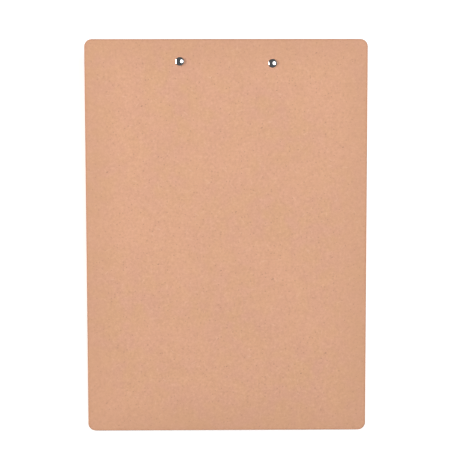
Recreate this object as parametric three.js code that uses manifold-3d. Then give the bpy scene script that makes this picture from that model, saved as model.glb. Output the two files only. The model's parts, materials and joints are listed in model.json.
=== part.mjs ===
// A clipboard: a sheet of hardboard with a sprung steel lever clip riveted near its top edge.
//
// Millimetres, +Z up. The clipboard lies on its front: the plain back with the two rivet heads faces
// up, and the clip is underneath, at the -Y end. The board rests on its bottom edge and on the rolled
// thumb edge of the clip, so it slopes up a little towards the clip. The origin is the middle of the
// bottom edge.
//
// The board is made upright, front to -Y and clip end up, and laid down last. The clip is laid out
// in a frame of its own, whose origin is on the front face halfway between the rivets. There "up" is
// measured up the board from the rivet line, "off" is measured out from the front face, and X runs
// along the hinge pin.
import * as THREE from 'three';
import { mergeVertices } from 'three/addons/utils/BufferGeometryUtils.js';
import Module from 'manifold-3d';

const wasm = await Module();
wasm.setup();

// Board
const boardWidth = 225;
const boardHeight = 315;
const boardThickness = 3;
const boardCornerRadius = 6;
const boardEdgeEase = 0.4;

// Where the clip sits
const rivetDrop = 18.4; // rivet line below the board's top edge
const rivetSpacing = 73.7;
const clipSkew = 1.2; // degrees; the clip is riveted a little out of square, its +X end higher

// Clearances
const seatGap = 0.3; // between pieces that lie on or are pressed against each other
const pinClearance = 0.3; // round the hinge pin, in the radius
const sideClearance = 0.6; // between the lever's cheeks and the base's ears

// Rivets: domed head on the back, hollow end rolled over on the clip's base plate
const rivetHeadRadius = 3.5;
const rivetHeadHeight = 1.9;
const rivetShankRadius = 2;
const rivetRollRadius = 3.3;
const rivetRollHeight = 1.1;
const rivetBoreRadius = 1.3;
const rivetBoreDepth = 2.8;
const rivetHoleClearance = 0.3;

// Steel sheet of the lever and the base plate
const sheet = 1;

// Hinge pin, through the ears of the base plate and the cheeks of the lever
const pinRadius = 1.75;
const pinDrop = 3.6; // pin below the rivet line
const pinHeight = 8.5; // pin off the front face
const pinPeenOverhang = 1.15; // peened head beyond the pin, in the radius
const pinPeenHeight = 1.2;

// Lever plate: its centre line runs from the jaw edge over the pin to the rolled thumb edge
const leverWidth = 120;
const leverCheekBend = 3; // outer radius between the roof and each cheek
const leverEarWall = 2.75; // cheek left round the pin hole
const roofClearance = 1.15; // under the roof, over the pin
const jawReach = 17; // jaw edge below the pin
const jawLean = 2.8; // how far the jaw face leans back towards the pin
const shoulderFall = 1.15; // shoulder nearer to the board than the roof over the pin
const shoulderBend = 7;
const waistReach = 6.6; // waist above the pin
const waistRise = 0.55; // waist further off the board than the roof over the pin
const waistBend = 22;
const thumbReach = 18.1; // start of the rolled edge above the pin
const thumbRise = 7.1; // from the waist out to the rolled edge
const curlRadius = 1.7;
const curlTurn = 250; // degrees
const thumbHalfWidth = 33;
const thumbCornerRadius = 9;
const taperLength = 11; // the plate narrows from full width to the thumb over this length
const taperStart = 5; // above the pin
const jawEndInset = 3.5; // the jaw strip stops this far short of each cheek
const cheekNotchMargin = 0.9; // the cheeks are cut away in front of the pin, this far clear of the grips
const hangHoleRadius = 4;
const hangHolePlace = 0.6; // along the thumb slope, from waist to thumb edge

// Rubber grips on the ends of the jaw edge
const gripLength = 14;
const gripReachUp = 5.5;
const gripWall = 0.9;
const gripEase = 0.35;

// Base plate: a channel with an upturned ear at each end
const baseAbove = 11; // above the rivet line
const baseMargin = 1.1; // plate left below the foot of the ears
const baseEarBend = 1.5;
const baseEarWall = 2.15; // ear left round the pin hole
const baseEarFoot = 3.1; // how much wider the ear is at its foot, each side
const baseRimRise = 0.6; // height kept where the plate turns up beside the ears

// Torsion springs, wound on the pin
const wireRadius = 0.9;
const springClearance = 0.4; // between pin and coil
const springTurns = 5;
const coilGap = 0.2; // between turns
const springPlace = 18; // middle of each coil from the clip's centre
const baseLegInset = 1.6; // leg tip below the upper edge of the base plate
const leverLegOverhang = 3.5; // leg beyond the lever's waist

// Smoothness
const arcStep = 15; // degrees
const roundSides = 24;
const wireSides = 8;
const wireStepsPerTurn = 12;

const at = (up, off) => new THREE.Vector2(up, off);
const pinPlace = at(-pinDrop, pinHeight);

// Planes that an outline is drawn in, each with the direction it is extruded in.
const fromSide = new THREE.Matrix4().makeBasis(
  new THREE.Vector3(0, 0, 1),
  new THREE.Vector3(0, -1, 0),
  new THREE.Vector3(1, 0, 0),
);
const fromTop = new THREE.Matrix4().makeBasis(
  new THREE.Vector3(1, 0, 0),
  new THREE.Vector3(0, -1, 0),
  new THREE.Vector3(0, 0, -1),
);
const fromFront = new THREE.Matrix4().makeBasis(
  new THREE.Vector3(1, 0, 0),
  new THREE.Vector3(0, 0, 1),
  new THREE.Vector3(0, -1, 0),
);

// An outline extruded from start to end, with its end edges eased.
function prism(outline, plane, start, end, ease = 0, easeSteps = 3) {
  const shape = outline instanceof THREE.Shape ? outline : new THREE.Shape(outline);
  const geometry = new THREE.ExtrudeGeometry(shape, {
    depth: end - start - 2 * ease,
    curveSegments: 8,
    bevelEnabled: ease > 0,
    bevelThickness: ease,
    bevelSize: ease,
    bevelOffset: -ease,
    bevelSegments: easeSteps,
  });
  geometry.translate(0, 0, start + ease);
  return geometry.applyMatrix4(plane);
}

// A round bar along X, between two places.
function barAlongX(radius, from, to, place) {
  const bar = new THREE.CylinderGeometry(radius, radius, to - from, roundSides);
  bar.rotateZ(Math.PI / 2);
  return bar.translate((from + to) / 2, -place.y, place.x);
}

function solid(geometry) {
  geometry.deleteAttribute('normal');
  geometry.deleteAttribute('uv');
  const merged = mergeVertices(geometry);
  return new wasm.Manifold(new wasm.Mesh({
    numProp: 3,
    vertProperties: new Float32Array(merged.attributes.position.array),
    triVerts: new Uint32Array(merged.index.array),
  }));
}

function geometryOf(manifold) {
  const { vertProperties, triVerts } = manifold.getMesh();
  const geometry = new THREE.BufferGeometry();
  geometry.setAttribute('position', new THREE.BufferAttribute(vertProperties, 3));
  geometry.setIndex(new THREE.BufferAttribute(triVerts, 1));
  geometry.computeVertexNormals();
  return geometry;
}

function piece(name, geometry, material) {
  const mesh = new THREE.Mesh(geometry, material);
  mesh.name = name;
  return mesh;
}

// Points on an arc, both ends included; angles in radians.
function arc(centre, radius, from, to) {
  const steps = Math.max(2, Math.ceil(Math.abs(THREE.MathUtils.radToDeg(to - from)) / arcStep));
  return Array.from({ length: steps + 1 }, (_, i) => {
    const angle = from + ((to - from) * i) / steps;
    return at(centre.x + radius * Math.cos(angle), centre.y + radius * Math.sin(angle));
  });
}

// A line through the corners, each inner corner rounded by the radius beside it.
function bentLine(corners, radii) {
  const line = [corners[0]];
  radii.forEach((radius, i) => {
    const corner = corners[i + 1];
    const back = corners[i].clone().sub(corner).normalize();
    const on = corners[i + 2].clone().sub(corner).normalize();
    const half = Math.acos(back.dot(on)) / 2;
    const centre = back.clone().add(on).setLength(radius / Math.sin(half)).add(corner);
    const first = back.multiplyScalar(radius / Math.tan(half)).add(corner).sub(centre);
    const last = on.multiplyScalar(radius / Math.tan(half)).add(corner).sub(centre);
    const turn = Math.atan2(first.cross(last), first.dot(last));
    line.push(...arc(centre, radius, first.angle(), first.angle() + turn));
  });
  line.push(corners[corners.length - 1]);
  return line;
}

// The line moved sideways, to its left when the distance is positive.
function offsetLine(line, distance) {
  return line.map((point, i) => {
    const before = line[Math.max(i - 1, 0)];
    const after = line[Math.min(i + 1, line.length - 1)];
    const along = after.clone().sub(before).normalize();
    return at(point.x - along.y * distance, point.y + along.x * distance);
  });
}

// Cross-section of a bent sheet: its centre line given a thickness.
function sheetOutline(line, thickness) {
  return [...offsetLine(line, -thickness / 2), ...offsetLine(line, thickness / 2).reverse()];
}

// Outer half of a domed head's profile, from its rim to the axis.
function dome(radius, base, height) {
  return arc(at(0, 0), 1, 0, Math.PI / 2).map((p) => at(p.x * radius, base + p.y * height));
}

// The clip's frame on the board.
const clip = new THREE.Group();
clip.position.set(0, -boardThickness / 2, boardHeight - rivetDrop);
clip.rotation.y = -THREE.MathUtils.degToRad(clipSkew);
clip.updateMatrix();
const rivetPlaces = { left: -rivetSpacing / 2, right: rivetSpacing / 2 };

// Heights off the front face that the stack of pieces under the rivets gives.
const boardFront = 0;
const baseBottom = boardFront + seatGap;
const baseTop = baseBottom + sheet;

// What goes round the pin.
const pinHoleRadius = pinRadius + pinClearance;
const baseEarRadius = pinHoleRadius + baseEarWall;
const leverEarRadius = pinHoleRadius + leverEarWall;
const coilRadius = pinRadius + springClearance + wireRadius;
const baseBelow = pinDrop + baseEarRadius + baseEarFoot + baseMargin;

function makeBoard() {
  const left = -boardWidth / 2;
  const right = boardWidth / 2;
  const r = boardCornerRadius;
  const outline = new THREE.Shape();
  outline.moveTo(left + r, 0);
  outline.lineTo(right - r, 0);
  outline.absarc(right - r, r, r, -Math.PI / 2, 0);
  outline.lineTo(right, boardHeight - r);
  outline.absarc(right - r, boardHeight - r, r, 0, Math.PI / 2);
  outline.lineTo(left + r, boardHeight);
  outline.absarc(left + r, boardHeight - r, r, Math.PI / 2, Math.PI);
  outline.lineTo(left, r);
  outline.absarc(left + r, r, r, Math.PI, 1.5 * Math.PI);
  let board = solid(prism(outline, fromFront, -boardThickness / 2, boardThickness / 2, boardEdgeEase, 2));
  for (const x of Object.values(rivetPlaces)) {
    const holeRadius = rivetShankRadius + rivetHoleClearance;
    const hole = new THREE.CylinderGeometry(holeRadius, holeRadius, 3 * boardThickness, roundSides);
    hole.translate(x, 0, 0).applyMatrix4(clip.matrix);
    board = board.subtract(solid(hole));
  }
  return geometryOf(board);
}

function makeRivet() {
  const headSeat = boardThickness + seatGap;
  const rollSeat = -(baseTop + seatGap);
  const rollEnd = rollSeat - rivetRollHeight;
  const lip = (rivetRollRadius - rivetBoreRadius) / 2;
  const lipMiddle = rivetBoreRadius + lip;
  const roll = arc(at(0, 0), 1, Math.PI, 2 * Math.PI).map(
    (p) => at(lipMiddle + p.x * lip, rollSeat + p.y * (rollSeat - rollEnd)),
  );
  const profile = [
    at(0, rollEnd + rivetBoreDepth),
    at(rivetBoreRadius, rollEnd + rivetBoreDepth),
    ...roll,
    at(rivetShankRadius, rollSeat),
    at(rivetShankRadius, headSeat),
    ...dome(rivetHeadRadius, headSeat, rivetHeadHeight - seatGap),
  ];
  profile[profile.length - 1].x = 0;
  return new THREE.LatheGeometry(profile, roundSides);
}

function makeBase() {
  const earMiddle = leverWidth / 2 - sheet - sideClearance - sheet / 2;
  const earTop = pinHeight + baseEarRadius;
  const plateMiddle = baseBottom + sheet / 2;
  const channel = bentLine([
    at(-earMiddle, earTop + 1),
    at(-earMiddle, plateMiddle),
    at(earMiddle, plateMiddle),
    at(earMiddle, earTop + 1),
  ], [baseEarBend, baseEarBend]);
  const side = new THREE.Shape();
  const baseRim = baseTop + baseRimRise;
  side.moveTo(-baseBelow, boardFront);
  side.lineTo(baseAbove, boardFront);
  side.lineTo(baseAbove, baseRim);
  side.lineTo(pinPlace.x + baseEarRadius + baseEarFoot, baseRim);
  side.absarc(pinPlace.x, pinPlace.y, baseEarRadius, 0, Math.PI);
  side.lineTo(pinPlace.x - baseEarRadius - baseEarFoot, baseRim);
  side.lineTo(-baseBelow, baseRim);
  let base = solid(prism(sheetOutline(channel, sheet), fromTop, -baseAbove - 1, baseBelow + 1))
    .intersect(solid(prism(side, fromSide, -leverWidth / 2, leverWidth / 2)));
  for (const x of Object.values(rivetPlaces)) {
    const holeRadius = rivetShankRadius + rivetHoleClearance;
    const hole = new THREE.CylinderGeometry(holeRadius, holeRadius, 6 * sheet, roundSides);
    base = base.subtract(solid(hole.translate(x, 0, 0)));
  }
  const pinHole = barAlongX(pinHoleRadius, -leverWidth / 2, leverWidth / 2, pinPlace);
  return geometryOf(base.subtract(solid(pinHole)));
}

// The lever's centre line, seen from the side.
const gripRadius = sheet / 2 + seatGap + gripWall;
const roofHeight = pinHeight + Math.max(baseEarRadius, coilRadius + wireRadius) + roofClearance + sheet / 2;
const jawEdge = at(pinPlace.x - jawReach, boardFront + seatGap + gripRadius);
const shoulder = at(jawEdge.x + jawLean, roofHeight - shoulderFall);
const waist = at(pinPlace.x + waistReach, roofHeight + waistRise);
const thumbEdge = at(pinPlace.x + thumbReach, waist.y + thumbRise);
const leverLine = bentLine([jawEdge, shoulder, waist, thumbEdge], [shoulderBend, waistBend]);
const thumbSlope = thumbEdge.clone().sub(waist).normalize();
const jawSlope = shoulder.clone().sub(jawEdge).normalize();
const jawHalfLength = leverWidth / 2 - jawEndInset;
const curlCentre = thumbEdge.clone().add(at(thumbSlope.y, -thumbSlope.x).multiplyScalar(curlRadius));

// Everything under the line, down to a floor below the board.
function underLine(line, floor) {
  return [at(line[line.length - 1].x, floor), ...[...line].reverse(), at(line[0].x, floor)];
}

function makeLever() {
  const half = leverWidth / 2;
  const floor = -8;
  const outerLine = offsetLine(leverLine, sheet / 2);
  const innerLine = offsetLine(leverLine, -sheet / 2);
  const beyondThumb = thumbSlope.clone().multiplyScalar(3 * leverCheekBend);
  innerLine.push(innerLine[innerLine.length - 1].clone().add(beyondThumb));
  const outer = solid(prism(underLine(outerLine, floor), fromSide, -half, half, leverCheekBend));
  const innerHalf = half - sheet;
  const innerBend = leverCheekBend - sheet;
  const inner = solid(prism(underLine(innerLine, 2 * floor), fromSide, -innerHalf, innerHalf, innerBend));
  let lever = outer.subtract(inner);

  // rolled thumb edge, curled under towards the board
  const curlStart = thumbSlope.angle() + Math.PI / 2;
  const curlEnd = curlStart - THREE.MathUtils.degToRad(curlTurn);
  const curlLine = [
    thumbEdge.clone().sub(thumbSlope.clone().multiplyScalar(sheet)),
    ...arc(curlCentre, curlRadius, curlStart, curlEnd),
  ];
  lever = lever.add(solid(prism(sheetOutline(curlLine, sheet), fromSide, -thumbHalfWidth, thumbHalfWidth)));

  // seen from the front, the plate narrows above the pin to a thumb tab with round corners
  const taperFrom = pinPlace.x + taperStart;
  const taperTo = taperFrom + taperLength;
  const top = curlCentre.x + curlRadius + sheet / 2;
  const tab = thumbHalfWidth - thumbCornerRadius;
  const plan = new THREE.Shape();
  plan.moveTo(-half - 1, 2 * floor - jawReach);
  plan.lineTo(half + 1, 2 * floor - jawReach);
  plan.lineTo(half + 1, taperFrom);
  plan.bezierCurveTo(half - 14, taperFrom, thumbHalfWidth, taperFrom, thumbHalfWidth, taperTo - 2);
  plan.quadraticCurveTo(thumbHalfWidth, top, tab, top);
  plan.lineTo(-tab, top);
  plan.quadraticCurveTo(-thumbHalfWidth, top, -thumbHalfWidth, taperTo - 2);
  plan.bezierCurveTo(-thumbHalfWidth, taperFrom, -half + 14, taperFrom, -half - 1, taperFrom);
  lever = lever.intersect(solid(prism(plan, fromFront, 3 * floor, 2 * thumbEdge.y)));

  // jaw edge, level with the board
  const belowJaw = new THREE.BoxGeometry(2 * leverWidth, -3 * floor, 4 * jawReach);
  belowJaw.translate(0, -jawEdge.y - 1.5 * floor, jawEdge.x);
  lever = lever.subtract(solid(belowJaw));

  // cheeks: cut away in front of the pin and rounded off below it
  const trim = new THREE.Shape();
  trim.moveTo(jawEdge.x - jawReach, 2 * floor);
  trim.lineTo(thumbEdge.x + thumbReach, 2 * floor);
  trim.lineTo(thumbEdge.x + thumbReach, pinHeight);
  trim.lineTo(pinPlace.x + leverEarRadius, pinHeight);
  trim.absarc(pinPlace.x, pinPlace.y, leverEarRadius, 0, -Math.PI, true);
  trim.lineTo(jawEdge.x - jawReach, jawEdge.y + gripReachUp + cheekNotchMargin);
  for (const end of [-1, 1]) {
    const near = Math.min(end * jawHalfLength, end * (half + 1));
    const far = Math.max(end * jawHalfLength, end * (half + 1));
    lever = lever.subtract(solid(prism(trim, fromSide, near, far)));
  }
  lever = lever.subtract(solid(barAlongX(pinHoleRadius, -half - 1, half + 1, pinPlace)));

  // hole to hang the board by, square to the thumb slope
  const hole = new THREE.CylinderGeometry(hangHoleRadius, hangHoleRadius, 8 * sheet, roundSides);
  const holePlace = waist.clone().lerp(thumbEdge, hangHolePlace);
  hole.rotateX(thumbSlope.angle());
  hole.translate(0, -holePlace.y, holePlace.x);
  return geometryOf(lever.subtract(solid(hole)));
}

function makePin() {
  const seat = leverWidth / 2 + seatGap;
  const head = dome(pinRadius + pinPeenOverhang, seat, pinPeenHeight);
  const profile = [
    ...head.map((p) => at(p.x, -p.y)).reverse(),
    at(pinRadius, -seat),
    at(pinRadius, seat),
    ...head,
  ];
  profile[0].x = 0;
  profile[profile.length - 1].x = 0;
  const pin = new THREE.LatheGeometry(profile, roundSides);
  pin.rotateZ(-Math.PI / 2);
  return pin.translate(0, -pinPlace.y, pinPlace.x);
}

// Centre line of a torsion spring: a straight leg, a coil round the pin and a second straight leg.
class SpringCurve extends THREE.Curve {
  constructor(side, baseTip, leverContact) {
    super();
    this.side = side;
    this.pitch = 2 * wireRadius + coilGap;
    const toBase = baseTip.clone().sub(pinPlace);
    const toLever = leverContact.clone().sub(pinPlace);
    this.firstAngle = toBase.angle() - 2 * Math.PI - Math.acos(coilRadius / toBase.length());
    this.lastAngle = toLever.angle() + Math.acos(coilRadius / toLever.length()) - 2 * Math.PI * springTurns;
    this.baseLeg = Math.sqrt(toBase.lengthSq() - coilRadius ** 2);
    this.leverLeg = Math.sqrt(toLever.lengthSq() - coilRadius ** 2) + leverLegOverhang;
    this.sweep = this.firstAngle - this.lastAngle;
    this.coil = this.sweep * Math.hypot(coilRadius, this.pitch / (2 * Math.PI));
    this.total = this.baseLeg + this.coil + this.leverLeg;
  }

  onCoil(share) {
    const angle = this.firstAngle - this.sweep * share;
    const turnsLong = (this.sweep / (2 * Math.PI)) * this.pitch;
    const place = arc(pinPlace, coilRadius, angle, angle)[0];
    return { angle, place, x: this.side * (springPlace + turnsLong * (share - 0.5)) };
  }

  getPoint(t, target = new THREE.Vector3()) {
    const along = t * this.total;
    const share = THREE.MathUtils.clamp((along - this.baseLeg) / this.coil, 0, 1);
    const { angle, place, x } = this.onCoil(share);
    const past = along - this.baseLeg - share * this.coil;
    const up = place.x + Math.sin(angle) * past;
    const off = place.y - Math.cos(angle) * past;
    return target.set(x, -off, up);
  }
}

function makeSpring(side) {
  const baseTip = at(baseAbove - baseLegInset, baseTop + seatGap + wireRadius);
  const waistMiddle = leverLine.reduce(
    (best, point) => (point.distanceTo(waist) < best.distanceTo(waist) ? point : best),
  );
  const waistSlope = waist.clone().sub(shoulder).normalize().add(thumbSlope).normalize();
  const underWaist = at(waistSlope.y, -waistSlope.x).multiplyScalar(sheet / 2 + seatGap + wireRadius);
  const curve = new SpringCurve(side, baseTip, waistMiddle.clone().add(underWaist));
  const steps = Math.round((curve.total / (2 * Math.PI * coilRadius)) * wireStepsPerTurn);
  const round = new THREE.Shape(
    Array.from({ length: wireSides }, (_, i) => {
      const angle = (2 * Math.PI * i) / wireSides;
      return at(wireRadius * Math.cos(angle), wireRadius * Math.sin(angle));
    }),
  );
  return new THREE.ExtrudeGeometry(round, { steps, bevelEnabled: false, extrudePath: curve });
}

// A rubber sleeve pushed over one end of the jaw strip, closed at its outer end.
function makeGrip(side) {
  const back = at(-jawSlope.y, jawSlope.x);
  const onJaw = (along, across) => jawEdge.clone()
    .add(jawSlope.clone().multiplyScalar(along))
    .add(back.clone().multiplyScalar(across));
  const angle = jawSlope.angle();
  const outer = [
    onJaw(gripReachUp, gripRadius),
    ...arc(jawEdge, gripRadius, angle + Math.PI / 2, angle + 1.5 * Math.PI),
    onJaw(gripReachUp, -gripRadius),
  ];
  const slotHalf = sheet / 2 + seatGap;
  const slot = [
    onJaw(2 * gripReachUp, slotHalf),
    onJaw(-seatGap, slotHalf),
    onJaw(-seatGap, -slotHalf),
    onJaw(2 * gripReachUp, -slotHalf),
  ];
  const mouth = side * (jawHalfLength - gripLength);
  const blind = side * (jawHalfLength + seatGap);
  const end = side * (jawHalfLength + seatGap + gripWall);
  const sleeve = solid(prism(outer, fromSide, Math.min(mouth, end), Math.max(mouth, end), gripEase, 2));
  const cutFrom = mouth - side;
  const hollow = solid(prism(slot, fromSide, Math.min(cutFrom, blind), Math.max(cutFrom, blind)));
  return geometryOf(sleeve.subtract(hollow));
}

const hardboard = new THREE.MeshStandardMaterial({ color: 0xd9a98a, roughness: 0.9, metalness: 0 });
const nickelPlate = new THREE.MeshStandardMaterial({ color: 0xc4c6c8, roughness: 0.25, metalness: 1 });
const brightNickel = new THREE.MeshStandardMaterial({ color: 0xd0d2d4, roughness: 0.12, metalness: 1 });
const springSteel = new THREE.MeshStandardMaterial({ color: 0x8c8e90, roughness: 0.35, metalness: 1 });
const gripRubber = new THREE.MeshStandardMaterial({ color: 0x2c2c2e, roughness: 0.8, metalness: 0 });

clip.add(piece('clip_base_plate', makeBase(), nickelPlate.clone()));
clip.add(piece('clip_lever', makeLever(), nickelPlate.clone()));
clip.add(piece('hinge_pin', makePin(), brightNickel.clone()));
for (const [side, sign] of [['left', -1], ['right', 1]]) {
  const rivet = piece(`rivet_${side}`, makeRivet(), brightNickel.clone());
  rivet.position.x = rivetPlaces[side];
  clip.add(rivet);
  clip.add(piece(`torsion_spring_${side}`, makeSpring(sign), springSteel.clone()));
  clip.add(piece(`jaw_grip_${side}`, makeGrip(sign), gripRubber.clone()));
}

// Slope of the table against the board: from the bottom edge to where it touches the rolled edge.
const fromBottomEdge = curlCentre.clone().add(at(boardHeight - rivetDrop, 0));
const tableSlope = fromBottomEdge.angle() + Math.asin((curlRadius + sheet / 2) / fromBottomEdge.length());

const clipboard = new THREE.Group();
clipboard.rotation.x = Math.PI / 2 - tableSlope;
clipboard.add(piece('board', makeBoard(), hardboard));
clipboard.add(clip);

export default clipboard;
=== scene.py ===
import json
import math

import bmesh
import bpy
from mathutils import Euler, Matrix, Vector


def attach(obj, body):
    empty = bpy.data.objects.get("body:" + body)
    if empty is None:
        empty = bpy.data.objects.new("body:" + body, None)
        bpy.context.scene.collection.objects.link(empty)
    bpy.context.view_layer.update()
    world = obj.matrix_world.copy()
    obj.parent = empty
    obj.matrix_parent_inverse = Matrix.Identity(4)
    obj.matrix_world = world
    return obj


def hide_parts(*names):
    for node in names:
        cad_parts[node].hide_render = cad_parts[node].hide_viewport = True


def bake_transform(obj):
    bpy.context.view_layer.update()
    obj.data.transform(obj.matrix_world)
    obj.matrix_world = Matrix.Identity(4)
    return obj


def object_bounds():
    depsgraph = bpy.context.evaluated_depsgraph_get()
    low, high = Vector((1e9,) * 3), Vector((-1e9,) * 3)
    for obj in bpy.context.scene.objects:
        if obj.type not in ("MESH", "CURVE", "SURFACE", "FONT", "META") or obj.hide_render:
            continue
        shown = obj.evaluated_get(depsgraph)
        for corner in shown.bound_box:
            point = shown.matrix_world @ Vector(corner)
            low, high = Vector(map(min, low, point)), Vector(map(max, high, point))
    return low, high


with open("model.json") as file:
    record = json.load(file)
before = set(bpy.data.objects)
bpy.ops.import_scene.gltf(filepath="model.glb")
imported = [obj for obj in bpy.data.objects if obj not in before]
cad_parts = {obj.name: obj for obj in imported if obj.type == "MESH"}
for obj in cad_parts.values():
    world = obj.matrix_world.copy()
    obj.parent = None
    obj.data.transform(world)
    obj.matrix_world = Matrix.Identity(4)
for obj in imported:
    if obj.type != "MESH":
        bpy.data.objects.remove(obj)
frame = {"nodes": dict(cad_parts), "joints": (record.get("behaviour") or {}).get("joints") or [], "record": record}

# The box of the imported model, taken before any of its pieces is replaced.
cad_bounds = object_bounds()


# ---------------------------------------------------------------------------------------------
# The board. A sheet of 3 mm hardboard, pressed from wood fibre and left bare, sawn to size, with
# its corners rounded and its edges lightly sanded. Two holes near the top take the clip's rivets.
MM = 0.001
board_width = 225 * MM
board_height = 315 * MM
board_thickness = 3 * MM
corner_radius = 6 * MM
corner_steps = 16
edge_ease = 0.4 * MM
ease_steps = 4
rivet_hole_radius = 2.3 * MM
rivet_hole_sides = 48
rivet_spacing = 73.7 * MM

pink_flock = (0.662, 0.352, 0.239)
yellow_flock = (0.655, 0.365, 0.210)
clear_flock = (0.700, 0.375, 0.236)
deep_flock = (0.590, 0.310, 0.195)
dark_bundle = (0.520, 0.270, 0.165)
pale_bundle = (0.800, 0.480, 0.320)
dark_fibre = (0.500, 0.255, 0.155)
dark_streak = (0.560, 0.295, 0.183)
pale_sliver = (0.800, 0.520, 0.370)
faint_bark = (0.400, 0.205, 0.125)
strong_bark = (0.300, 0.150, 0.090)
# painted shade: the tone for a wide band of the face, darkened towards the outline
painted_edge_shade = (0.560, 0.302, 0.181)
deep_rim = (0.560, 0.270, 0.150)
sawn_edge = (0.300, 0.140, 0.075)
edge_shade_reach = 35 * MM  # in from the outline, as the next two are
rim_reach = 2.4 * MM
edge_reach = 0.7 * MM
rim_wander = 3 * MM
fibre_relief = 0.12 * MM

# The board's own axes: across it, out of its back, and up it from the bottom edge.
up_board = -Vector(frame["record"]["mounts"][0]["axis"])
out_of_back = up_board.cross(Vector((1, 0, 0)))
board_place = Matrix((Vector((1, 0, 0)), out_of_back, up_board)).transposed().to_4x4()

# The clip's axes: along its hinge pin, out of the back, and up the board, with the pin's middle as
# their origin. The pin stands this far off the board's front and below the rivets.
pin_height = 8.5 * MM
pin_drop = 3.6 * MM
hinge = frame["joints"][0]
along_pin = -Vector(hinge["axis"])
clip_axes = Matrix((along_pin, out_of_back, along_pin.cross(out_of_back))).transposed().to_4x4()
clip_place = Matrix.Translation(hinge["pos_m"]) @ clip_axes
rivet_places = {}
for side, sign in (("left", -1), ("right", 1)):
    from_pin = (sign * rivet_spacing / 2, pin_height + board_thickness / 2, pin_drop)
    rivet_places[side] = clip_place @ Matrix.Translation(from_pin)


def only(obj):
    """Selects one object alone and makes it the active one."""
    bpy.ops.object.select_all(action="DESELECT")
    obj.select_set(True)
    bpy.context.view_layer.objects.active = obj


def pick_edges(test):
    """In edit mode, selects the edges whose middle and direction pass a test."""
    bpy.ops.mesh.select_mode(type="EDGE")
    bpy.ops.mesh.select_all(action="DESELECT")
    edges = bmesh.from_edit_mesh(bpy.context.edit_object.data).edges
    for edge in edges:
        first, last = (vert.co for vert in edge.verts)
        if test((first + last) / 2, (last - first).normalized()):
            edge.select_set(True)


def apply_modifier(obj, kind, **settings):
    """Gives a piece one modifier and makes its effect part of the mesh."""
    modifier = obj.modifiers.new(kind.title(), kind)
    for name, value in settings.items():
        setattr(modifier, name, value)
    only(obj)
    bpy.ops.object.modifier_apply(modifier=modifier.name)


smooth_up_to = math.radians(40)


def settle(obj, place):
    """Puts a piece in its place, in its mesh, and smooths its round stretches."""
    only(obj)
    obj.matrix_world = place
    bpy.ops.object.transform_apply(location=True, rotation=True, scale=True)
    bpy.ops.object.shade_smooth_by_angle(angle=smooth_up_to)
    apply_modifier(obj, "WEIGHTED_NORMAL", keep_sharp=True)


class Nodes:
    """A material's nodes, with a short way to add one and wire it up."""

    def __init__(self, name):
        self.material = bpy.data.materials.new(name)
        self.material.use_nodes = True
        self.tree = self.material.node_tree
        self.shader = self.tree.nodes["Principled BSDF"]

    def add(self, kind, inputs=None, **settings):
        """A node, with its settings and with a value or a link for each input named."""
        node = self.tree.nodes.new(kind)
        for name, value in settings.items():
            setattr(node, name, value)
        for name, value in (inputs or {}).items():
            self.feed(node.inputs[name], value)
        return node

    def feed(self, socket, value):
        """Links a socket to another one, or sets it when the value is a plain one."""
        if isinstance(value, bpy.types.NodeSocket):
            self.tree.links.new(value, socket)
        else:
            socket.default_value = value

    def coordinates(self, turn=(0, 0, 0), scale=(1, 1, 1)):
        """Object coordinates, turned and stretched for one pattern."""
        source = self.add("ShaderNodeTexCoord").outputs["Object"]
        mapping = self.add("ShaderNodeMapping", {"Vector": source, "Rotation": turn, "Scale": scale})
        return mapping.outputs["Vector"]

    def stretched(self, vector, turn, length):
        """Coordinates for a pattern drawn out on the board's face, at an angle to its width."""
        values = {"Vector": vector, "Rotation": (0, turn, 0), "Scale": (length, 1, 1)}
        return self.add("ShaderNodeMapping", values, vector_type="TEXTURE").outputs["Vector"]

    def flecks(self, vector, scale, rarity, size, strength):
        """Separate small spots, where the share of cells left empty is the rarity."""
        cells = self.add("ShaderNodeTexVoronoi", {"Vector": vector, "Scale": scale})
        cell = self.add("ShaderNodeSeparateColor", {"Color": cells.outputs["Color"]}).outputs["Red"]
        spot = self.ramp(cells.outputs["Distance"], 0.5 * size, size, strength, 0.0)
        return self.math("MULTIPLY", spot, self.math("GREATER_THAN", cell, rarity))

    def noise(self, vector, scale, detail=2.0, roughness=0.5, distortion=0.0):
        """Cloudy patches: the scale is about how many there are to a metre."""
        values = {"Vector": vector, "Scale": scale, "Detail": detail}
        values |= {"Roughness": roughness, "Distortion": distortion}
        return self.add("ShaderNodeTexNoise", values).outputs["Fac"]

    def ramp(self, value, low, high, bottom=0.0, top=1.0):
        """Bottom where the value is low, top where it is high, and smooth between them."""
        values = {"Value": value, "From Min": low, "From Max": high, "To Min": bottom, "To Max": top}
        return self.add("ShaderNodeMapRange", values, interpolation_type="SMOOTHSTEP").outputs["Result"]

    def math(self, operation, first, second=0.0):
        """One sum on one or two values, each a plain number or a socket."""
        node = self.add("ShaderNodeMath", operation=operation)
        self.feed(node.inputs[0], first)
        self.feed(node.inputs[1], second)
        return node.outputs[0]

    def blend(self, share, first, second):
        """The first colour, with a share of the second one laid over it."""
        node = self.add("ShaderNodeMix", data_type="RGBA")
        self.feed(node.inputs["Factor"], share)
        for socket, value in ((node.inputs[6], first), (node.inputs[7], second)):
            self.feed(socket, value if isinstance(value, bpy.types.NodeSocket) else (*value, 1))
        return node.outputs[2]

    def bump(self, height, depth, strength):
        """A relief this deep, in metres."""
        values = {"Height": height, "Distance": depth, "Strength": strength}
        return self.add("ShaderNodeBump", values).outputs["Normal"]


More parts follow.
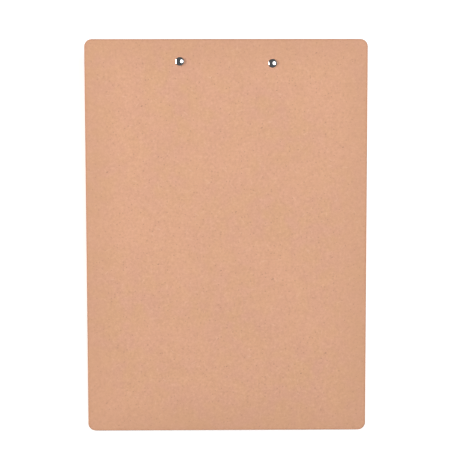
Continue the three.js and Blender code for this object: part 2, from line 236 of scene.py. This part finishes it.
def hardboard():
    """Bare pressed fibre: cloudy flock in two tints, fine grain, pale slivers, dark specks."""
    n = Nodes("hardboard")
    flat = n.coordinates((-board_place.to_euler().x, 0, 0))
    axes = n.add("ShaderNodeSeparateXYZ", {"Vector": flat})

    # tints, clouds and flock: pinker and yellower patches, hardly different in depth
    tint = n.noise(flat, 60, 2, 0.5)
    cloud = n.noise(flat, 16, 3, 0.6)
    flock = n.noise(flat, 110, 3, 0.6, 0.3)
    colour = n.blend(n.ramp(tint, 0.35, 0.65), pink_flock, yellow_flock)
    colour = n.blend(n.ramp(cloud, 0.32, 0.68, 0.0, 0.80), colour, clear_flock)
    colour = n.blend(n.ramp(flock, 0.35, 0.65, 0.0, 0.18), colour, deep_flock)

    # the grain of fibre bundles and of single fibres, and faint streaks across the board
    bundles = n.noise(flat, 520, 4, 0.7)
    colour = n.blend(n.ramp(bundles, 0.32, 0.50, 0.38, 0.0), colour, dark_bundle)
    colour = n.blend(n.ramp(bundles, 0.50, 0.68, 0.0, 0.36), colour, pale_bundle)
    grain = n.noise(flat, 1300, 2, 0.6)
    colour = n.blend(n.ramp(grain, 0.3, 0.5, 0.22, 0.0), colour, dark_fibre)
    streak = n.noise(n.stretched(flat, 0.0, 6), 600, 3, 0.6)
    colour = n.blend(n.ramp(streak, 0.52, 0.72, 0.0, 0.20), colour, dark_streak)

    # pale slivers, a few millimetres long and a little curved, lying every way
    drift = {"Vector": flat, "Scale": 150.0, "Detail": 1.0}
    bend = n.add("ShaderNodeTexNoise", drift).outputs["Color"]
    curved = n.add("ShaderNodeVectorMath", operation="MULTIPLY_ADD")
    for socket, value in zip(curved.inputs, (bend, (0.005, 0, 0.005), flat)):
        n.feed(socket, value)
    for turn in (0.2, 0.9, 1.6, 2.3, 2.9):
        along = n.stretched(curved.outputs["Vector"], turn, 7)
        colour = n.blend(n.flecks(along, 520, 0.90, 0.20, 0.30), colour, pale_sliver)

    # dark specks of bark: many faint, a few strong
    colour = n.blend(n.flecks(flat, 420, 0.80, 0.30, 0.45), colour, faint_bark)
    chips = n.flecks(n.stretched(flat, 0.5, 2), 240, 0.93, 0.14, 0.60)
    colour = n.blend(chips, colour, strong_bark)

    # how far inside the outline, round corners included, each spot lies
    straight_width = board_width / 2 - corner_radius
    straight_height = board_height / 2 - corner_radius
    beside = n.math("SUBTRACT", n.math("ABSOLUTE", axes.outputs["X"]), straight_width)
    middle = n.math("SUBTRACT", axes.outputs["Z"], board_height / 2)
    beyond = n.math("SUBTRACT", n.math("ABSOLUTE", middle), straight_height)
    squares = [n.math("POWER", n.math("MAXIMUM", past, 0.0), 2.0) for past in (beside, beyond)]
    round_part = n.math("SQRT", n.math("ADD", *squares))
    flat_part = n.math("MINIMUM", n.math("MAXIMUM", beside, beyond), 0.0)
    inside = n.math("SUBTRACT", corner_radius, n.math("ADD", round_part, flat_part))

    # the outer part: a wide band of painted shade, darker towards the outline, a deeper rim, and the brown sawn
    # edge
    colour = n.blend(n.ramp(inside, 0.0, edge_shade_reach, 0.35, 0.0), colour, painted_edge_shade)
    ragged = n.math("ADD", inside, n.math("MULTIPLY", n.math("SUBTRACT", bundles, 0.5), rim_wander))
    colour = n.blend(n.ramp(ragged, 0.2 * MM, rim_reach, 0.5, 0.0), colour, deep_rim)
    colour = n.blend(n.ramp(inside, 0.1 * MM, edge_reach, 0.6, 0.0), colour, sawn_edge)

    n.feed(n.shader.inputs["Base Color"], colour)
    n.feed(n.shader.inputs["Roughness"], n.ramp(bundles, 0.3, 0.7, 0.62, 0.78))
    n.shader.inputs["Specular IOR Level"].default_value = 0.3
    relief = n.math("ADD", n.math("MULTIPLY", grain, 0.4), n.math("MULTIPLY", bundles, 0.6))
    n.feed(n.shader.inputs["Normal"], n.bump(relief, fibre_relief, 0.7))
    return n.material


bpy.ops.object.select_all(action="DESELECT")
bpy.ops.mesh.primitive_cube_add(size=1, location=(0, 0, board_height / 2))
board = bpy.context.object
board.name = "hardboard_sheet"
board.scale = (board_width, board_thickness, board_height)
bpy.ops.object.transform_apply(location=True, rotation=True, scale=True)
bpy.ops.object.mode_set(mode="EDIT")
pick_edges(lambda middle, way: abs(way.y) > 0.9)
bpy.ops.mesh.bevel(offset=corner_radius, segments=corner_steps, profile=0.5)
pick_edges(lambda middle, way: abs(way.y) < 0.1 and abs(middle.y) > 0.49 * board_thickness)
bpy.ops.mesh.bevel(offset=edge_ease, segments=ease_steps, profile=0.5)
bpy.ops.object.mode_set(mode="OBJECT")
for place in rivet_places.values():
    bpy.ops.object.select_all(action="DESELECT")
    bpy.ops.mesh.primitive_cylinder_add(
        vertices=rivet_hole_sides, radius=rivet_hole_radius, depth=4 * board_thickness
    )
    drill = bpy.context.object
    drill.matrix_world = board_place.inverted() @ place @ Matrix.Rotation(math.pi / 2, 4, "X")
    apply_modifier(board, "BOOLEAN", operation="DIFFERENCE", object=drill, solver="EXACT")
    bpy.data.objects.remove(drill)
settle(board, board_place)
board.data.materials.clear()
board.data.materials.append(hardboard())
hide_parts("board")
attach(board, "board_assembly")


# ---------------------------------------------------------------------------------------------
# The rivets. Two tubular steel rivets, bright nickel plated: each has a smooth domed head on the
# board's back, and its hollow end is rolled over on the clip's base plate.
head_radius = 3.5 * MM
head_rim = 0.25 * MM  # rounding at the foot of the dome
head_slope = 38  # of the dome where it meets the rim
shank_radius = 2 * MM
roll_radius = 3.3 * MM
roll_height = 1.38 * MM
bore_radius = 1.3 * MM
bore_depth = 2.8 * MM
plate_top = 1.3 * MM  # off the board's front
seat = 0.02 * MM  # left open between pieces that lie on each other
nickel_tint = (0.80, 0.81, 0.82)
nickel_gloss = (0.08, 0.17)  # roughness, from the clearest spots to the haziest
plating_relief = 0.03 * MM


def turned(name, profile, sides=64):
    """A piece turned about Z, from half of its outline as (radius, height) points."""
    outline = bpy.data.curves.new(name, "CURVE")
    outline.dimensions = "3D"
    spline = outline.splines.new("POLY")
    spline.points.add(len(profile) - 1)
    for point, (radius, height) in zip(spline.points, profile):
        point.co = (radius, 0, height, 1)
    piece = bpy.data.objects.new(name, outline)
    bpy.context.scene.collection.objects.link(piece)
    only(piece)
    bpy.ops.object.convert(target="MESH")
    piece = bpy.context.object
    bpy.ops.object.mode_set(mode="EDIT")
    bpy.ops.mesh.select_all(action="SELECT")
    bpy.ops.mesh.spin(steps=sides, angle=2 * math.pi, center=(0, 0, 0), axis=(0, 0, 1))
    bpy.ops.mesh.select_all(action="SELECT")
    bpy.ops.mesh.remove_doubles(threshold=0.001 * MM)
    bpy.ops.mesh.normals_make_consistent(inside=False)
    bpy.ops.object.mode_set(mode="OBJECT")
    return piece


def arc(middle, size, start, end, steps):
    """Points on part of an ellipse, both ends included, from one angle in degrees to another."""
    angles = [math.radians(start + (end - start) * i / steps) for i in range(steps + 1)]
    return [(middle[0] + size[0] * math.cos(a), middle[1] + size[1] * math.sin(a)) for a in angles]


def nickel(name, tint, gloss):
    """Bright plating over pressed steel: faint ripples, handling haze and a few fine scratches."""
    n = Nodes(name)
    place = n.coordinates()
    haze = n.noise(place, 120, 4, 0.6)
    ripple = n.noise(place, 320, 2, 0.5)
    scratch = n.noise(n.coordinates((0.3, 0.5, 0.9), (1, 14, 14)), 260, 2, 0.6)
    worn = n.ramp(scratch, 0.66, 0.74, 0.0, 0.5)
    dull = tuple(0.82 * channel for channel in tint)
    colour = n.blend(n.ramp(haze, 0.4, 0.75, 0.0, 0.6), tint, dull)
    roughness = n.math("ADD", n.ramp(haze, 0.35, 0.7, *gloss), n.math("MULTIPLY", worn, 0.2))
    n.feed(n.shader.inputs["Base Color"], colour)
    n.feed(n.shader.inputs["Roughness"], roughness)
    n.shader.inputs["Metallic"].default_value = 1.0
    relief = n.math("SUBTRACT", ripple, n.math("MULTIPLY", worn, 0.3))
    n.feed(n.shader.inputs["Normal"], n.bump(relief, plating_relief, 0.35))
    return n.material


back = board_thickness / 2 + seat
front = -board_thickness / 2 - plate_top - seat
bore_end = front - roll_height + bore_depth
lip = (roll_radius - bore_radius) / 2
rivet_profile = [
    (0, bore_end),
    (bore_radius, bore_end),
    *arc((bore_radius + lip, front), (lip, roll_height), 180, 360, 16),
    (shank_radius, front),
    (shank_radius, back),
    (head_radius - head_rim, back),
    *arc((head_radius - head_rim, back + head_rim), (head_rim, head_rim), -90, 90 - head_slope, 8),
]
# the dome is part of a ball that carries on from the slope of the rim
foot_radius, foot_height = rivet_profile[-1]
ball = foot_radius / math.sin(math.radians(head_slope))
ball_middle = foot_height - ball * math.cos(math.radians(head_slope))
rivet_profile += arc((0, ball_middle), (ball, ball), 90 - head_slope, 90, 20)[1:]
rivet_profile[-1] = (0, ball_middle + ball)
bright_nickel = nickel("bright_nickel", nickel_tint, nickel_gloss)
for side, place in rivet_places.items():
    rivet = turned(f"domed_rivet_{side}", rivet_profile)
    settle(rivet, place @ Matrix.Rotation(-math.pi / 2, 4, "X"))
    rivet.data.materials.append(bright_nickel)
    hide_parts(f"rivet_{side}")
    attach(rivet, "board_assembly")


# ---------------------------------------------------------------------------------------------
# The clip's base plate. A strip of 1 mm steel, nickel plated, with an ear turned up at each end
# for the hinge pin. It lies on the board's front, held by the rolled ends of the rivets.
burr = 0.12 * MM  # how far tumbling has rounded the sheared edges
steel_tint = (0.74, 0.75, 0.76)
steel_gloss = (0.12, 0.24)


def eased(node, name, width, material):
    """A piece of sheet or moulding with the shape of its CAD node and its sharp edges rounded."""
    piece = bpy.data.objects.new(name, frame["nodes"][node].data.copy())
    bpy.context.scene.collection.objects.link(piece)
    only(piece)
    bpy.ops.object.mode_set(mode="EDIT")
    bpy.ops.mesh.select_all(action="SELECT")
    bpy.ops.mesh.remove_doubles(threshold=0.002 * MM)
    bpy.ops.mesh.dissolve_limited(angle_limit=math.radians(0.5))
    bpy.ops.object.mode_set(mode="OBJECT")
    sharp = math.radians(35)
    apply_modifier(piece, "BEVEL", limit_method="ANGLE", angle_limit=sharp, segments=3, width=width)
    settle(piece, Matrix.Identity(4))
    piece.data.materials.clear()
    piece.data.materials.append(material)
    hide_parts(node)
    return piece


clip_steel = nickel("clip_steel", steel_tint, steel_gloss)
base_plate = eased("clip_base_plate", "eared_base_plate", burr, clip_steel)
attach(base_plate, "board_assembly")


# ---------------------------------------------------------------------------------------------
# The hinge pin. A straight bright nickel-plated steel pin through the ears of the base plate and
# the cheeks of the lever, with both ends peened into low round heads outside the cheeks.
pin_radius = 1.75 * MM
pin_seat = 60.3 * MM
peen_radius = 2.9 * MM
peen_height = 1.2 * MM
pin_sides = 48
peened = arc((0, pin_seat), (peen_radius, peen_height), 0, 90, 12)
peened[-1] = (0, pin_seat + peen_height)
half_pin = [(pin_radius, 0), (pin_radius, pin_seat), *peened]
pin_profile = [(radius, -height) for radius, height in reversed(half_pin[1:])] + half_pin
pin = turned("peened_hinge_pin", pin_profile, pin_sides)
settle(pin, clip_place @ Matrix.Rotation(math.pi / 2, 4, "Y"))
pin.data.materials.append(bright_nickel)
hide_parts("hinge_pin")
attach(pin, "board_assembly")


# ---------------------------------------------------------------------------------------------
# The springs. Two torsion springs of 1.8 mm steel wire wound on the hinge pin: one leg of each
# bears on the base plate and the other under the lever's waist, which presses the jaw shut.
wire_radius = 0.9 * MM
coil_radius = 3.05 * MM
coil_pitch = 2 * MM
coil_middle = 18 * MM
wound_turns = 5
base_tip = Vector((13.0, -6.0)) * MM  # up the board and off it, from the pin
lever_contact = Vector((6.45, 4.98)) * MM
lever_overhang = 3.5 * MM
coil_steps = 24  # to a turn
clean_wire = (0.47, 0.47, 0.48)
oiled_wire = (0.33, 0.32, 0.31)
drawing_relief = 0.02 * MM


def spring_wire():
    """Drawn steel wire with a thin, uneven film of oil and fine drawing marks."""
    n = Nodes("spring_wire")
    place = n.coordinates()
    film = n.noise(place, 240, 4, 0.6)
    drawn = n.noise(n.coordinates(scale=(6, 1, 1)), 900, 2, 0.5)
    colour = n.blend(n.ramp(film, 0.35, 0.7), clean_wire, oiled_wire)
    n.feed(n.shader.inputs["Base Color"], colour)
    n.feed(n.shader.inputs["Roughness"], n.ramp(drawn, 0.3, 0.7, 0.24, 0.42))
    n.shader.inputs["Metallic"].default_value = 1.0
    n.feed(n.shader.inputs["Normal"], n.bump(drawn, drawing_relief, 0.4))
    return n.material


def spring_line(side):
    """The wire's middle line, from the tip on the base plate round the pin to the lever."""
    full_turn = 2 * math.pi
    base_turn = math.atan2(base_tip.y, base_tip.x) % full_turn
    base_turn -= math.acos(coil_radius / base_tip.length)
    lever_turn = math.atan2(lever_contact.y, lever_contact.x)
    lever_turn += math.acos(coil_radius / lever_contact.length)
    first = base_turn - full_turn
    last = lever_turn - full_turn * wound_turns
    sweep = first - last
    steps = round(sweep / full_turn * coil_steps)
    base_leg = math.sqrt(base_tip.length ** 2 - coil_radius ** 2)
    lever_leg = math.sqrt(lever_contact.length ** 2 - coil_radius ** 2) + lever_overhang

    def on_coil(share, past=0.0):
        """A point this share of the way along the coil, or past it on a straight leg."""
        angle = first - sweep * share
        up = coil_radius * math.cos(angle) + math.sin(angle) * past
        off = coil_radius * math.sin(angle) - math.cos(angle) * past
        shift = sweep / full_turn * coil_pitch * (share - 0.5)
        return Vector((side * (coil_middle + shift), -off, up))

    coil = [on_coil(i / steps) for i in range(steps + 1)]
    return [on_coil(0, -base_leg), *coil, on_coil(1, lever_leg)], abs(coil[0].x), abs(coil[-1].x)


wire_finish = spring_wire()
for side, sign in (("left", -1), ("right", 1)):
    line, from_base, to_lever = spring_line(sign)
    wire = bpy.data.curves.new(f"wound_spring_{side}", "CURVE")
    wire.dimensions = "3D"
    wire.bevel_depth = wire_radius
    wire.bevel_resolution = 4
    wire.use_fill_caps = True
    spline = wire.splines.new("POLY")
    spline.points.add(len(line) - 1)
    for point, place in zip(spline.points, line):
        point.co = (*place, 1)
    spring = bpy.data.objects.new(f"wound_spring_{side}", wire)
    bpy.context.scene.collection.objects.link(spring)
    only(spring)
    bpy.ops.object.convert(target="MESH")
    spring = bpy.context.object
    settle(spring, clip_place)
    spring.data.materials.clear()
    spring.data.materials.append(wire_finish)
    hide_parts(f"torsion_spring_{side}")
    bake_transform(spring)


# ---------------------------------------------------------------------------------------------
# The lever. One pressing of 1 mm nickel-plated steel: the jaw strip, the roof with its two cheeks
# over the pin, and the thumb tab with a rolled edge and a hole to hang the board by.
lever = eased("clip_lever", "pressed_lever", burr, clip_steel)
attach(lever, "lever_assembly")


# ---------------------------------------------------------------------------------------------
# The jaw grips. Two moulded black rubber sleeves pushed over the ends of the jaw strip, which
# hold the paper without marking it.
mould_round = 0.2 * MM
black_rubber = (0.022, 0.022, 0.024)
dusty_rubber = (0.07, 0.068, 0.065)
skin_relief = 0.04 * MM


def rubber():
    """Moulded rubber: near black, matt, with a fine spark-eroded skin and some dust."""
    n = Nodes("grip_rubber")
    place = n.coordinates()
    skin = n.noise(place, 2600, 2, 0.6)
    dust = n.noise(place, 180, 4, 0.65)
    colour = n.blend(n.ramp(dust, 0.45, 0.8, 0.0, 0.6), black_rubber, dusty_rubber)
    n.feed(n.shader.inputs["Base Color"], colour)
    n.feed(n.shader.inputs["Roughness"], n.ramp(dust, 0.3, 0.7, 0.62, 0.85))
    n.feed(n.shader.inputs["Normal"], n.bump(skin, skin_relief, 0.6))
    return n.material


grip_rubber = rubber()
for side in ("left", "right"):
    grip = eased(f"jaw_grip_{side}", f"rubber_grip_{side}", mould_round, grip_rubber)
    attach(grip, "lever_assembly")


# ---------------------------------------------------------------------------------------------
# The table: a plain white sheet that glows a little, like a light table, so that shadows stay
# faint, and glows more away from the board, where the softboxes don't reach.
table_size = 12.0
table_top = cad_bounds[0][2] - seat
table_white = (0.84, 0.84, 0.84, 1)
glow_near = 0.42
glow_far = 1.1
lit_reach = 0.45  # the softboxes light the table well up to here
dark_reach = 1.1  # and hardly any more from here on
bpy.ops.object.select_all(action="DESELECT")
bpy.ops.mesh.primitive_plane_add(size=table_size, location=(0, -board_height / 2, table_top))
table = bpy.context.object
table.name = "table"
sheet = Nodes("white_sheet")
sheet.shader.inputs["Base Color"].default_value = table_white
sheet.shader.inputs["Roughness"].default_value = 0.9
sheet.shader.inputs["Emission Color"].default_value = (1, 1, 1, 1)
from_middle = sheet.add("ShaderNodeVectorMath", {0: sheet.coordinates()}, operation="LENGTH")
reach = from_middle.outputs["Value"]
glow = sheet.ramp(reach, lit_reach, dark_reach, glow_near, glow_far)
sheet.feed(sheet.shader.inputs["Emission Strength"], glow)
table.data.materials.append(sheet.material)


# ---------------------------------------------------------------------------------------------
# The light: a dim room that reads white behind the table, a large round softbox over the right of
# the board as the camera sees it, and a long low one on the left that grazes the board.
room_tint = (0.95, 0.97, 1.0, 1)
room_strength = 0.10
backdrop_strength = 1.1
room = bpy.data.worlds.new("studio")
bpy.context.scene.world = room
room.use_nodes = True
dim = room.node_tree.nodes["Background"]
dim.inputs["Color"].default_value = room_tint
dim.inputs["Strength"].default_value = room_strength
white = room.node_tree.nodes.new("ShaderNodeBackground")
white.inputs["Color"].default_value = (1, 1, 1, 1)
white.inputs["Strength"].default_value = backdrop_strength
seen = room.node_tree.nodes.new("ShaderNodeLightPath")
choice = room.node_tree.nodes.new("ShaderNodeMixShader")
room.node_tree.links.new(seen.outputs["Is Camera Ray"], choice.inputs[0])
room.node_tree.links.new(dim.outputs[0], choice.inputs[1])
room.node_tree.links.new(white.outputs[0], choice.inputs[2])
room.node_tree.links.new(choice.outputs[0], room.node_tree.nodes["World Output"].inputs["Surface"])


def softbox(name, shape, place, size, power):
    """An area light aimed at the middle of the board: its size is across and up."""
    light = bpy.data.lights.new(name, "AREA")
    light.shape = shape
    light.size, light.size_y = size
    light.energy = power
    lamp = bpy.data.objects.new(name, light)
    bpy.context.scene.collection.objects.link(lamp)
    aim = Vector((0, -board_height / 2, 0)) - Vector(place)
    lamp.matrix_world = Matrix.Translation(place) @ aim.to_track_quat("-Z", "Y").to_matrix().to_4x4()


softbox("octabox_right", "ELLIPSE", (-0.68, -0.29, 1.12), (1.20, 1.20), 15.2)
softbox("strip_left", "RECTANGLE", (1.12, -0.27, 0.42), (1.10, 0.11), 17.2)


# ---------------------------------------------------------------------------------------------
# The camera, straight above the board with the clip end at the top. The board's slope is all that
# turns it away from the lens.
lens = 85
sensor = 36
nearest = 0.01
camera_distance = 0.8816
camera_aside = Vector((4.77, 3.72)) * MM
board_angles = (4.29, 0.61, 0.14)  # degrees, of the board against the lens
board_turn = Euler([math.radians(angle) for angle in board_angles], "XYZ").to_matrix().to_4x4()
back_middle = board_place @ Matrix.Translation((0, board_thickness / 2, board_height / 2))
facing_back = Matrix(((-1, 0, 0, 0), (0, 0, 1, 0), (0, 1, 0, 0), (0, 0, 0, 1)))
camera_data = bpy.data.cameras.new("camera")
camera_data.lens = lens
camera_data.sensor_width = sensor
camera_data.clip_start = nearest
camera = bpy.data.objects.new("camera", camera_data)
bpy.context.scene.collection.objects.link(camera)
stand = Matrix.Translation((camera_aside.x, camera_aside.y, camera_distance))
camera.matrix_world = back_middle @ facing_back @ board_turn.inverted() @ stand
bpy.context.scene.camera = camera
bpy.context.scene.view_settings.view_transform = "Standard"
